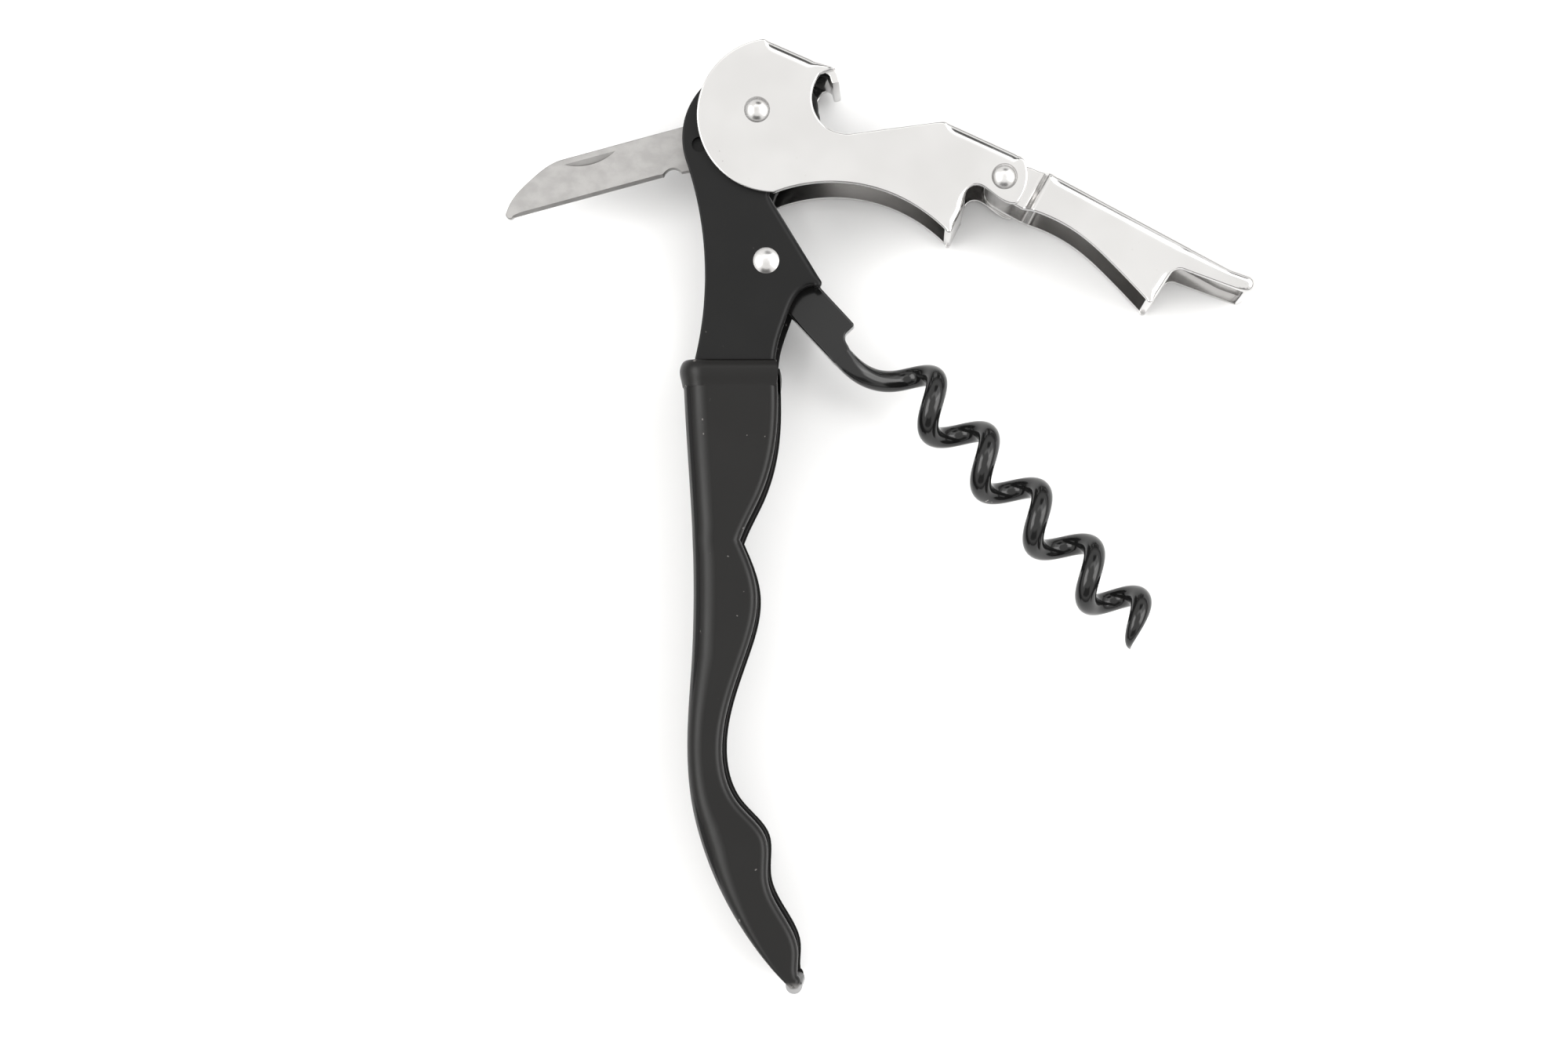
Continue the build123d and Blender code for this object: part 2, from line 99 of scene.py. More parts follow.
# along and across the grip, from the lever rivet
GRIP_TOP = -32.4
GRIP_TOP_BACK = -9.95
GRIP_TOP_FRONT = 2.45
GRIP_END = (4.3, -114.6)
SPINE_START = -37.5  # the back is slotted for the blade down to here
SLOT_HALF = 1.5
EAR_ROOT = GRIP_TOP - 3      # the ears' outline starts this far down, inside the sleeve
PASSING = 20         # cutters that pass right through a piece are at least this large

CUT_EDGE = 0.24      # rounding of a cut sheet on its outer face
BURR_EDGE = 0.1      # and on its inner face
BEND = 1.5           # reach of a bend across the sheet's face
TOOTH_BEND = 1.1     # the same at a tooth
BEND_DROP = 0.86     # and down its edge, all but the whole sheet
RIM_STEPS = 5
SUPPORT = 0.04       # narrow flat ring just inside a rounded edge, which keeps the face beside it flat
CAP_CORNERS = 12     # a face with more corners than this is a flat cap


# ---- curves --------------------------------------------------------------------------------------


def smooth(points, start, end, step=0.35):
    """Evenly curved line through the points, with the directions of its ends."""
    pts = np.array(points, float)
    gaps = np.linalg.norm(np.diff(pts, axis=0), axis=1)
    count = len(pts)
    rows, right = np.eye(count), np.zeros_like(pts)
    right[0], right[-1] = Vector(start).normalized(), Vector(end).normalized()
    for i in range(1, count - 1):
        rows[i, i - 1 : i + 2] = gaps[i], 2 * (gaps[i - 1] + gaps[i]), gaps[i - 1]
        right[i] = 3 * (
            gaps[i] * (pts[i] - pts[i - 1]) / gaps[i - 1] + gaps[i - 1] * (pts[i + 1] - pts[i]) / gaps[i]
        )
    slopes = np.linalg.solve(rows, right)
    out = []
    for i, gap in enumerate(gaps):
        pieces = max(2, round(gap / step))
        for t in np.arange(pieces) / pieces:
            out.append(
                pts[i] * (2 * t**3 - 3 * t**2 + 1)
                + slopes[i] * gap * (t**3 - 2 * t**2 + t)
                + pts[i + 1] * (3 * t**2 - 2 * t**3)
                + slopes[i + 1] * gap * (t**3 - t**2)
            )
    return [Vector(p) for p in (*out, pts[-1])]


def straight(*corners, step=0.4):
    """Straight lines through the corners, with points between them about a step apart."""
    out = [Vector(corners[0])]
    for a, b in zip(map(Vector, corners), map(Vector, corners[1:])):
        count = max(1, round((b - a).length / step))
        out += [a.lerp(b, k / count) for k in range(1, count + 1)]
    return out


def arc(a, middle, b, step=0.25):
    """Circular arc from a to b through middle."""
    a, u, v = Vector(a), Vector(middle) - Vector(a), Vector(b) - Vector(a)
    twice = 2 * u.cross(v)
    centre = a + Vector((
        v.y * u.length_squared - u.y * v.length_squared,
        u.x * v.length_squared - v.x * u.length_squared,
    )) / twice
    first, last = a - centre, a + v - centre
    turn = (atan2(last.y, last.x) - atan2(first.y, first.x)) % (2 * pi)
    if twice < 0:
        turn -= 2 * pi
    count = max(4, round(abs(turn) * first.length / step))
    angles = [atan2(first.y, first.x) + turn * k / count for k in range(count + 1)]
    return [centre + first.length * Vector((cos(angle), sin(angle))) for angle in angles]


def polar(radius, degrees):
    """Point at a distance and a direction from the origin."""
    return Vector((radius * cos(radians(degrees)), radius * sin(radians(degrees))))


def eased(corners, radius, step=0.2):
    """Open line through the corners, with its corners eased into curves."""
    corners = [Vector(c) for c in corners]
    out = [corners[0]]
    for before, corner, after in zip(corners, corners[1:], corners[2:]):
        a, b = before - corner, after - corner
        reach = min(radius, a.length / 2, b.length / 2)
        start, end = corner + a.normalized() * reach, corner + b.normalized() * reach
        count = max(4, round(2 * reach / step))
        for k in range(count + 1):
            t = k / count
            out.append(start * (1 - t) ** 2 + corner * 2 * t * (1 - t) + end * t**2)
    return out + [corners[-1]]


def moved(points, x, y=0.0):
    """The same line, further along x and y."""
    return [p + Vector((x, y)) for p in points]


def joined(*runs, blend=3):
    """One closed outline of (points, edge rounding) runs. The rounding changes gently where runs meet."""
    points, radii = [], []
    for run, radius in runs:
        for p in run:
            if not points or (p - points[-1]).length > 0.02:
                points.append(p)
                radii.append(radius)
    while (points[0] - points[-1]).length < 0.02:
        points.pop()
        radii.pop()
    if sum(a.cross(b) for a, b in zip(points, points[1:] + points[:1])) < 0:
        points.reverse()
        radii.reverse()
    for _ in range(blend):
        radii = [
            (radii[i - 1] + 2 * radii[i] + radii[(i + 1) % len(radii)]) / 4 for i in range(len(radii))
        ]
    return points, radii


def outward(points):
    """Outward direction at each point of an anticlockwise outline, longer at its corners."""
    out = []
    for before, p, after in zip(points[-1:] + points[:-1], points, points[1:] + points[:1]):
        a, b = (p - before).normalized(), (after - p).normalized()
        n = (Vector((a.y, -a.x)) + Vector((b.y, -b.x))).normalized()
        out.append(n / max(0.5, n.dot(Vector((a.y, -a.x)))))
    return out


def roomy(points, radii, near=2):
    """Edge rounding limited to what the outline has room for, so that insets don't cross."""
    pts = np.array(points)
    normals = np.array([n.normalized() for n in outward(points)])
    count = len(pts)
    apart = pts[:, None] - pts[None]
    into = (normals[:, None] * apart).sum(2)
    index = np.arange(count)
    steps = np.abs(index[:, None] - index[None])
    with np.errstate(divide="ignore", invalid="ignore"):
        ball = (apart**2).sum(2) / (2 * into)
    ball[(into < 1e-4) | (np.minimum(steps, count - steps) <= near)] = 1e3
    return [min(r, max(0.9 * room - SUPPORT, 0.01)) for r, room in zip(radii, ball.min(1))]


# ---- solids --------------------------------------------------------------------------------------


class Piece:
    """A mesh in progress in a piece's own axes; each call adds one closed solid."""

    def __init__(self, pivot=LEVER_PIVOT, angle=0.0):
        self.bm = bmesh.new()
        self.place = Matrix.Translation((pivot.x, pivot.y, MID)) @ Matrix.Rotation(radians(angle), 4, "Z")

    def skin(self, rings):
        """Closed skin over rings of equal length."""
        rows = [[self.bm.verts.new(p) for p in ring] for ring in rings]
        for low, high in zip(rows, rows[1:]):
            for i in range(len(low)):
                self.bm.faces.new((low[i - 1], low[i], high[i], high[i - 1]))
        self.bm.faces.new(rows[0][::-1])
        self.bm.faces.new(rows[-1])

    def plate(self, outline, low, high, low_edge=None, high_edge=None, drop=BEND_DROP):
        """Sheet between two heights, its edges rounded by the outline's radii or by one value."""
        points, radii = outline
        normals = outward(points)
        turns = [k / RIM_STEPS * pi / 2 for k in range(RIM_STEPS + 1)]
        halves = []
        for edge, base, way in ((low_edge, low, 1), (high_edge, high, -1)):
            edges = roomy(points, radii if edge is None else [edge] * len(points))
            rings = [[(*(p - n * (r + SUPPORT)), base) for p, n, r in zip(points, normals, edges)]]
            for a in turns:
                rings.append([
                    (*(p - n * r * (1 - sin(a))), base + way * min(r, drop) * (1 - cos(a)))
                    for p, n, r in zip(points, normals, edges)
                ])
            halves.append(rings)
        self.skin(halves[0] + halves[1][::-1])

    def pair(self, outline, inner, outer):
        """Two equal plates, one each side of the mid-plane, with the outline's rounding outside."""
        self.plate(outline, inner, outer, low_edge=BURR_EDGE)
        self.plate(outline, -outer, -inner, high_edge=BURR_EDGE)

    def web(self, path, half, sheet=SHEET):
        """Sheet across the width, its outer face on the path and its thickness to the path's right."""
        inside = []
        for i, p in enumerate(path):
            along = (path[min(i + 1, len(path) - 1)] - path[max(i - 1, 0)]).normalized()
            inside.append(p + Vector((along.y, -along.x)) * sheet)
        first, last = (path[1] - path[0]).normalized(), (path[-1] - path[-2]).normalized()
        r = CUT_EDGE
        runs = []
        for outer, inner, way in ((path[-1], inside[-1], last), (inside[0], path[0], -first)):
            side = (inner - outer).normalized()
            runs.append([
                outer - way * r, outer - way * r * 0.3 + side * r * 0.3, outer + side * r,
                inner - side * r, inner - way * r * 0.3 - side * r * 0.3, inner - way * r,
            ])
        outline = joined((path[1:-1], 0), (runs[0], 0), (inside[1:-1][::-1], 0), (runs[1], 0))
        self.plate(outline, -half, half, BURR_EDGE, BURR_EDGE)

    def turned(self, profile, sides=72):
        """Solid turned about the pivot, through (radius, height) points."""
        self.skin([
            [(r * cos(2 * pi * k / sides), r * sin(2 * pi * k / sides), z) for k in range(sides)]
            for r, z in profile
        ])

    def solid(self, name):
        """The finished mesh as an object, in metres and in its place."""
        self.bm.transform(Matrix.Scale(MM, 4) @ self.place)
        bmesh.ops.recalc_face_normals(self.bm, faces=self.bm.faces)
        mesh = bpy.data.meshes.new(name)
        self.bm.to_mesh(mesh)
        self.bm.free()
        obj = bpy.data.objects.new(name, mesh)
        bpy.context.scene.collection.objects.link(obj)
        return obj


def cut(obj, cutter):
    """Take the cutter's shape out of a piece."""
    difference = obj.modifiers.new("cut", "BOOLEAN")
    difference.operation, difference.solver, difference.object = "DIFFERENCE", "EXACT", cutter
    with bpy.context.temp_override(object=obj, active_object=obj, selected_objects=[obj]):
        bpy.ops.object.modifier_apply(modifier=difference.name)
    bpy.data.objects.remove(cutter)


def fit(obj, body, nodes, material, sharp=35):
    """Finish a piece: smooth faces between its edges, and its body and its material."""
    obj.data.shade_smooth()
    for face in obj.data.polygons:
        face.use_smooth = len(face.vertices) <= CAP_CORNERS
    obj.data.set_sharp_from_angle(angle=radians(sharp))
    obj.data.materials.clear()
    obj.data.materials.append(material)
    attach(obj, body)
    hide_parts(*nodes)


# ---- shaders -------------------------------------------------------------------------------------


class Flow:
    """A value in a shader that can be added, multiplied and fed to other nodes."""

    def __init__(self, tree, socket):
        self.tree, self.socket = tree, socket

    def node(self, kind, inputs=None, out=0, **settings):
        """Any other node: its inputs are values or numbers, and one of its outputs comes back."""
        made = self.tree.nodes.new(kind)
        for name, value in settings.items():
            setattr(made, name, value)
        for key, value in (inputs or {}).items():
            if isinstance(value, Flow):
                self.tree.links.new(value.socket, made.inputs[key])
            else:
                made.inputs[key].default_value = value
        return Flow(self.tree, made.outputs[out])

    def maths(self, operation, a, b):
        return self.node("ShaderNodeMath", {0: a, 1: b}, operation=operation)

    def __add__(self, other):
        return self.maths("ADD", self, other)

    def __radd__(self, other):
        return self.maths("ADD", other, self)

    def __sub__(self, other):
        return self.maths("SUBTRACT", self, other)

    def __rsub__(self, other):
        return self.maths("SUBTRACT", other, self)

    def __mul__(self, other):
        return self.maths("MULTIPLY", self, other)

    def __rmul__(self, other):
        return self.maths("MULTIPLY", other, self)

    def __truediv__(self, other):
        return self.maths("DIVIDE", self, other)

    def over(self, low, high):
        """0 below low and 1 above high, with a soft step between."""
        return self.node(
            "ShaderNodeMapRange", {"Value": self, "From Min": low, "From Max": high},
            interpolation_type="SMOOTHSTEP",
        )

    def noise(self, scale, detail=3.0, rough=0.5, stretch=(1, 1, 1), place=(0, 0, 0)):
        """Noise over the piece, with scale in features per millimetre."""
        spread = self.node("ShaderNodeMapping", {"Vector": self, "Scale": stretch, "Location": place})
        return self.node(
            "ShaderNodeTexNoise",
            {"Vector": spread, "Scale": scale / MM, "Detail": detail, "Roughness": rough},
        )

    def mix(self, a, b):
        """Colour a where this value is 0 and b where it is 1."""
        return self.node("ShaderNodeMix", {"Factor": self, 6: a, 7: b}, out=2, data_type="RGBA")

    def bump(self, height):
        """Shading normal of a height in millimetres."""
        return self.node("ShaderNodeBump", {"Height": height, "Distance": MM, "Strength": 1.0})


def shader(name):
    """A new material: the place on its piece in metres, and a way to fill its main shader's sockets."""
    material = bpy.data.materials.new(name)
    material.use_nodes = True
    tree = material.node_tree
    main = tree.nodes["Principled BSDF"]
    place = Flow(tree, tree.nodes.new("ShaderNodeTexCoord").outputs["Object"])

    def fill(**values):
        for key, value in values.items():
            socket = main.inputs[key.replace("_", " ")]
            if isinstance(value, Flow):
                tree.links.new(value.socket, socket)
            else:
                socket.default_value = value
        return material

    return place, fill


def grey(value, warmth=0.0):
    """A grey, a little redder than blue when it is warm."""
    return (value * (1 + warmth), value, value * (1 - warmth), 1)


# the tip of the handle is worn, from the first of these distances along it to the second
PAINT_WORN = (-60.4, -60.9)
GRIP_WORN = (-60.6, -62.0)


def chrome():
    place, fill = shader("polished chrome")
    cloud = place.noise(0.12, 2).over(0.3, 0.7)
    grain = place.noise(2.2, 4)
    pits = place.noise(2.6, 2, place=(3, 1, 2)).over(0.74, 0.80)
    return fill(
        Base_Color=pits.mix(cloud.mix(grey(0.555, 0.012), grey(0.585, 0.010)), grey(0.25, 0.05)),
        Metallic=1.0,
        Roughness=0.11 + cloud * 0.05 + pits * 0.2,
        Normal=place.bump(grain * 0.0010 - pits * 0.003 + place.noise(0.25, 1) * 0.006),
    )


def blade():
    place, fill = shader("tumbled stainless steel")
    cloud = place.noise(0.5, 3, stretch=(1, 1.4, 1)).over(0.3, 0.72)
    grain = place.noise(4.5, 4, 0.6)
    return fill(
        Base_Color=cloud.mix(grey(0.28, 0.02), grey(0.33, 0.02)),
        Metallic=1.0,
        Roughness=0.30 + grain * 0.22,
        Normal=place.bump(grain * 0.004 + cloud * 0.003),
    )


def steel(name, value, roughness):
    place, fill = shader(name)
    cloud = place.noise(0.6, 3).over(0.3, 0.7)
    return fill(
        Base_Color=cloud.mix(grey(value, 0.02), grey(value * 1.15, 0.01)),
        Metallic=1.0,
        Roughness=roughness + cloud * 0.06,
        Normal=place.bump(place.noise(2.5, 4) * 0.003),
    )


def paint():
    place, fill = shader("satin black paint")
    cloud = place.noise(0.15, 3).over(0.3, 0.75)
    grain = place.noise(2.8, 4, 0.6)
    dust = place.noise(1.1, 2, place=(5, 2, 1)).over(0.735, 0.77)
    scuffs = place.noise(0.5, 4, 0.7, stretch=(1, 6, 1)).over(0.66, 0.80)
    along = place.node("ShaderNodeSeparateXYZ", {0: place}, out=1)
    bare = (along / MM + 0.8 * grain).over(*PAINT_WORN)
    black = dust.mix((scuffs * 0.5).mix(grey(0.0025), grey(0.012)), grey(0.09, 0.05))
    return fill(
        Base_Color=bare.mix(black, grey(0.26)),
        Roughness=0.32 + cloud * 0.06 + grain * 0.06,
        Specular_IOR_Level=0.2,
        Normal=place.bump(grain * 0.006 + dust * 0.01),
    )


def plastic():
    place, fill = shader("black moulded plastic")
    cloud = place.noise(0.1, 3).over(0.3, 0.75)
    grain = place.noise(3.0, 4, 0.6)
    dust = place.noise(0.9, 2, place=(1, 7, 4)).over(0.74, 0.775)
    along = place.node("ShaderNodeSeparateXYZ", {0: place}, out=1)
    tip = (along / MM).over(*GRIP_WORN) * place.noise(1.2, 4).over(0.35, 0.6)
    worn = dust.mix(grey(0.002, 0.14), grey(0.09, 0.05))
    return fill(
        Base_Color=tip.mix(worn, grey(0.24, 0.03)),
        Roughness=0.30 + cloud * 0.06 + grain * 0.08 + tip * 0.2,
        Specular_IOR_Level=0.26,
        Normal=place.bump(grain * 0.007 + dust * 0.01 + tip * 0.03),
    )


def coating():
    place, fill = shader("black slippery coating")
    cloud = place.noise(0.3, 3).over(0.3, 0.7)
    chips = place.noise(0.7, 3, place=(2, 3, 9)).over(0.765, 0.785)
    return fill(
        Base_Color=chips.mix(grey(0.006), grey(0.30, 0.05)),
        Roughness=0.10 + cloud * 0.06 + chips * 0.3,
        Specular_IOR_Level=0.36,
        Normal=place.bump(place.noise(1.5, 4) * 0.004 - chips * 0.02),
    )


CHROME, BLADE, PAINT, PLASTIC, COATING = chrome(), blade(), paint(), plastic(), coating()
RIVET = steel("rivet steel", 0.50, 0.22)
BUSH = steel("bush steel", 0.35, 0.30)

# ---- handle frame --------------------------------------------------------------------------------

GRIP_BACK = smooth(
    [
        (GRIP_TOP_BACK, GRIP_TOP), (-9.5, -41.0), (-8.55, -58.0), (-8.75, -72.0),
        (-9.25, -83.5), (-8.3, -92.5), (-5.2, -101.3), GRIP_END,
    ],
    (0.05, -1), (0.72, -0.7), step=0.6,
)
GRIP_TIP = arc(GRIP_END, (5.45, -114.3), (5.25, -112.9))
GRIP_WAVES = smooth(
    [
        (5.25, -112.9), (5.3, -109.7), (1.35, -100.6), (1.1, -95.0), (-2.72, -90.2),
        (-4.62, -84.2), (-1.9, -71.7), (-0.1, -62.9), (-2.3, -56.0),
    ],
    (-0.1, 1), (-0.45, 1), step=0.5,
)
GRIP_THUMB = smooth(
    [(-2.3, -56.0), (0.4, -50.15), (2.35, -43.0), (2.65, -38.0), (GRIP_TOP_FRONT, GRIP_TOP)],
    (0.35, 1), (-0.06, 1), step=0.5,
)


NOSE_RADIUS = 7.95           # round nose about the lever rivet
BROW_END = polar(NOSE_RADIUS, 12)
NOSE_END = polar(NOSE_RADIUS, -50)
EAR_FOLD = [(1.49, -10.96), (8.3, -22.1)]
LOCATING_HOLE, HOLE_RADIUS, HOLE_DEPTH = (-7.58, -4.34), 1.0, 0.94
TIP, TIP_RADIUS, TIP_EDGE = Vector((4.75, -114.3, 0)), 1.1, 0.5
PLATE_DEPTH = 0.45           # the frame's back lies this far under the skin of the grip
PLATE_END = -113             # and its plates end here, inside the grip
REVEAL = 0.3                 # its edge stands this far inside the grip's front edge
CHANNEL_BACK = SHEET + SLEEVE_WALL
FLANGE_SLOT_HALF = 2.2
FLANGE_ROOM = SHEET * Vector((0.855, 0.519))     # the flange's thickness, square to its fold


def crown(degrees):
    """Point on the round back of the ears."""
    return Vector((-0.26, -3.5)) + polar(9.65, degrees)


ear = joined(
    (arc((-9.05, EAR_ROOT), (-6.9, -19.9), (-9.3, -6.6), step=0.4), CUT_EDGE),
    (arc((-9.3, -6.6), crown(135), crown(80)), CUT_EDGE),
    (arc(crown(80), crown(60), BROW_END), CUT_EDGE),
    (arc(BROW_END, polar(NOSE_RADIUS, -20), NOSE_END), CUT_EDGE),
    (arc(NOSE_END, (2.3, -8.4), EAR_FOLD[0]), 0.5),
    (straight(*EAR_FOLD), 0.8),
    (arc(EAR_FOLD[1], (8.1, -22.9), (7.3, -22.7), step=0.12), 0.45),
    (smooth([(7.3, -22.7), (5.93, -23.17), (3.78, -26.75), (2.55, -30.64), (2.2, EAR_ROOT)],
            (-1, -0.1), (0, -1)), 0.7),
    (moved([p for p in GRIP_THUMB if p.y < EAR_ROOT - 0.5][::-1], -REVEAL), BURR_EDGE),
    (moved([p for p in GRIP_WAVES if p.y > PLATE_END + 1][::-1], -REVEAL), BURR_EDGE),
    (moved([p for p in GRIP_BACK if PLATE_END < p.y < EAR_ROOT - 0.5][::-1], PLATE_DEPTH), BURR_EDGE),
)
piece = Piece()
piece.pair(ear, FRAME_INNER, FRAME_HALF)
piece.web(
    moved([p for p in GRIP_BACK if PLATE_END < p.y < SPINE_START][::-1], PLATE_DEPTH),
    FRAME_INNER + BURR_EDGE, sheet=CHANNEL_BACK - PLATE_DEPTH,
)
fold = straight((2.0, -11.8), (8.25, -22.1))
flange = joined((fold, 0), (moved(fold, *-FLANGE_ROOM)[::-1], 0))
reach = (FLANGE_SLOT_HALF, FRAME_INNER + BURR_EDGE)
for low, high in (reach, (-reach[1], -reach[0])):
    piece.plate(flange, low, high, BURR_EDGE, BURR_EDGE)
sheet = piece.solid("frame_sheet")
hole = Piece(LEVER_PIVOT + Vector((*LOCATING_HOLE, 0)))
for way in (1, -1):
    heights = (way * (FRAME_HALF - HOLE_DEPTH), way * (FRAME_HALF + 1))
    hole.turned([(HOLE_RADIUS, z) for z in heights], sides=32)
cut(sheet, hole.solid("hole"))
tip = Piece(LEVER_PIVOT + TIP)
around = [polar(TIP_RADIUS, 9 * k) for k in range(40)]
tip.plate((around, [TIP_EDGE] * len(around)), -FRAME_HALF, FRAME_HALF)
fit(tip.solid("frame_tip"), "handle", ["handle_frame"], PAINT)
fit(sheet, "handle", ["handle_frame"], PAINT)

# ---- grip sleeve ---------------------------------------------------------------------------------

BACK_ROUND, FRONT_ROUND, TIP_ROUND = 3.0, 1.0, 0.5
TIP_FADE = 0.16      # the back's rounding shrinks by this much a millimetre towards the tip
TIP_START = -112.5
SKIN_TOP = GRIP_TOP - 0.8    # the skin ends here, inside the lip
LIP_ROOM = 0.5               # the hollow in the sleeve is this much wider than the frame's channel
LIP_FRONT, LIP_WALL = 2.5, 1.6
# the rolled top of the sleeve: depth below its top, and reach beyond the sleeve's skin
LIP_PROFILE = [
    (0.0, -0.6), (0.04, -0.34), (0.2, -0.1), (0.45, 0.08), (0.8, 0.23), (1.15, 0.32), (1.5, LIP_REACH),
    (1.9, 0.32), (2.3, 0.24), (2.7, 0.14), (3.1, 0.05), (3.5, -0.02),
]

back = [(p, min(BACK_ROUND, TIP_ROUND + max(0.0, p.y - TIP_START) * TIP_FADE)) for p in GRIP_BACK]
front = [(p, FRONT_ROUND) for p in GRIP_TIP[1:] + GRIP_WAVES[1:] + GRIP_THUMB[1:]]
# the skin is drawn taller than it is and trimmed, so that its rounded edges run straight into the lip
above = [
    (Vector((GRIP_TOP_FRONT, GRIP_TOP + 6)), FRONT_ROUND),
    (Vector((GRIP_TOP_BACK, GRIP_TOP + 6)), BACK_ROUND),
]
points, radii = zip(*back, *front, *above)
piece = Piece()
piece.plate((list(points), list(radii)), -SLEEVE_HALF, SLEEVE_HALF, drop=BACK_ROUND)
sleeve = piece.solid("grip_sleeve_skin")

trim = [Vector(p) for p in ((-PASSING, SKIN_TOP), (PASSING, SKIN_TOP), (PASSING, 0), (-PASSING, 0))]
slot = [Vector(p) for p in ((-14, SPINE_START), (-5, SPINE_START), (-5, -20), (-14, -20))]
hollow = joined((moved(GRIP_BACK, CHANNEL_BACK), 0), (moved(GRIP_BACK, 30)[::-1], 0))
for name, outline, half in (
    ("trim", (trim, [BURR_EDGE] * len(trim)), PASSING / 2),
    ("hollow", hollow, FRAME_INNER + LIP_ROOM),
    ("slot", joined((slot, 0)), SLOT_HALF),
):
    cutter = Piece()
    cutter.plate(outline, -half, half)
    cut(sleeve, cutter.solid(name))
fit(sleeve, "handle", ["grip_sleeve"], PLASTIC)

bend = Vector((GRIP_TOP_BACK + BACK_ROUND, SLEEVE_HALF - BACK_ROUND))
band = [
    *straight((LIP_FRONT, SLEEVE_HALF), bend + polar(BACK_ROUND, 90)),
    *arc(bend + polar(BACK_ROUND, 90), bend + polar(BACK_ROUND, 135), bend + polar(BACK_ROUND, 180))[1:],
    *straight(bend + polar(BACK_ROUND, 180), (GRIP_TOP_BACK, SLOT_HALF))[1:],
]
inside = [
    Vector((GRIP_TOP_BACK + LIP_WALL, SLOT_HALF)),
    Vector((GRIP_TOP_BACK + LIP_WALL, FRAME_INNER + LIP_ROOM)),
    Vector((LIP_FRONT, FRAME_INNER + LIP_ROOM)),
]
swing = outward(band + inside)[:len(band)]
lip = Piece()
for way in (1, -1):
    rings = []
    for depth, reach in LIP_PROFILE:
        ring = [p + n * reach for p, n in zip(band, swing)] + inside
        # the front of the lip swells a little less than its side
        face = LIP_FRONT + 0.05 + reach * 0.3
        rings.append([(min(p.x, face), GRIP_TOP - depth, p.y * way) for p in ring])
    lip.skin(rings)
fit(lip.solid("grip_lip"), "handle", ["grip_sleeve"], PLASTIC)

# ---- main lever ----------------------------------------------------------------------------------

HEAD_WEB = [(-1.29, 9.31), (8.5, 7.85), (9.4, 6.4)]
MAIN_SPINE = [(24.5, 5.0), (35.0, 3.26)]
MAIN_TOOTH = [(29.1, -3.3), (29.2, -5.6), (28.55, -8.85)]

side = joined(
    (arc((4.9, -9.85), (-7.28, -3.18), HEAD_WEB[0]), CUT_EDGE),
    (straight(*HEAD_WEB[:2]), BEND),
    (straight(HEAD_WEB[1], (6.7, 6.7)), CUT_EDGE),
    (smooth([(6.7, 6.7), (6.3, 4.5), (7.46, 1.52), (9.77, 0.03), (12.4, 0.1)], (-0.4, -1), (1, 0.25)),
     CUT_EDGE),
    (straight((12.4, 0.1), (23.6, 4.8)), CUT_EDGE),
    (arc((23.6, 4.8), (24.1, 4.98), MAIN_SPINE[0]), 0.5),
    (straight(*MAIN_SPINE), BEND),
    (arc(MAIN_SPINE[1], (36.4, 0.1), (35.9, -2.9)), CUT_EDGE),
    (smooth([(35.9, -2.9), (33.7, -2.95), (29.6, -2.25), MAIN_TOOTH[0]], (-0.8, -0.6), (0.1, -1)),
     CUT_EDGE),
    (straight(*MAIN_TOOTH), TOOTH_BEND),
    (arc(MAIN_TOOTH[2], (28.25, -9.0), (27.9, -8.7), step=0.12), CUT_EDGE),
    (arc((27.9, -8.7), (18.0, -5.85), (4.9, -9.85), step=0.4), CUT_EDGE),
)
piece = Piece(LEVER_PIVOT, MAIN_ANGLE)
piece.pair(side, LEVER_INNER, LEVER_HALF)
for path, reach in ((HEAD_WEB, 0.9), (MAIN_SPINE, 0.5), (MAIN_TOOTH, 0.8)):
    piece.web(eased(path, reach), LEVER_INNER + 2 * BURR_EDGE)
fit(piece.solid("main_lever_sheet"), "lever", ["main_lever"], CHROME)

# ---- step lever ----------------------------------------------------------------------------------

HINGE_RADIUS = 2.39
SHOULDER = (4.0, 5.5)        # start and end of the step in width
SHOULDER_CUTS = 9            # lines across the step, along which it bends
STEP_SPINE = [(5.2, 3.4), (31.7, 3.45)]
STEP_END = [(34.3, 3.85), (35.5, 2.9), (34.6, 1.6)]
STEP_TOOTH = [(25.1, -0.7), (24.75, -5.3)]

side = joined(
    (arc((0, -HINGE_RADIUS), (-HINGE_RADIUS, 0), polar(HINGE_RADIUS, 75)), CUT_EDGE),
    (smooth([polar(HINGE_RADIUS, 75), (2.0, 2.75), (4.3, 3.1), STEP_SPINE[0]], (1, 0.1), (1, 0.02)),
     CUT_EDGE),
    (straight(*STEP_SPINE, STEP_END[0]), BEND),
    (arc(*STEP_END), 1.0),
    (straight(STEP_END[2], (26.6, 0.45)), CUT_EDGE),
    (arc((26.6, 0.45), (25.6, 0.1), STEP_TOOTH[0]), CUT_EDGE),
    (straight(*STEP_TOOTH), TOOTH_BEND),
    (arc(STEP_TOOTH[1], (24.35, -5.55), (23.9, -5.3), step=0.12), CUT_EDGE),
    (smooth([(23.9, -5.3), (18.1, -3.4), (12.0, -1.95), (SHOULDER[0], -2.45)], (-1, 0.35), (-1, -0.25)),
     CUT_EDGE),
    (straight((SHOULDER[0], -2.45), (0, -HINGE_RADIUS)), CUT_EDGE),
)
piece = Piece(STEP_PIVOT, STEP_ANGLE)
piece.pair(side, HINGE_INNER, HINGE_INNER + SHEET)
length = SHOULDER[1] - SHOULDER[0]
for k in range(SHOULDER_CUTS):
    bmesh.ops.bisect_plane(
        piece.bm, geom=piece.bm.verts[:] + piece.bm.edges[:] + piece.bm.faces[:],
        plane_co=(SHOULDER[0] + length * k / (SHOULDER_CUTS - 1), 0, 0), plane_no=(1, 0, 0),
    )
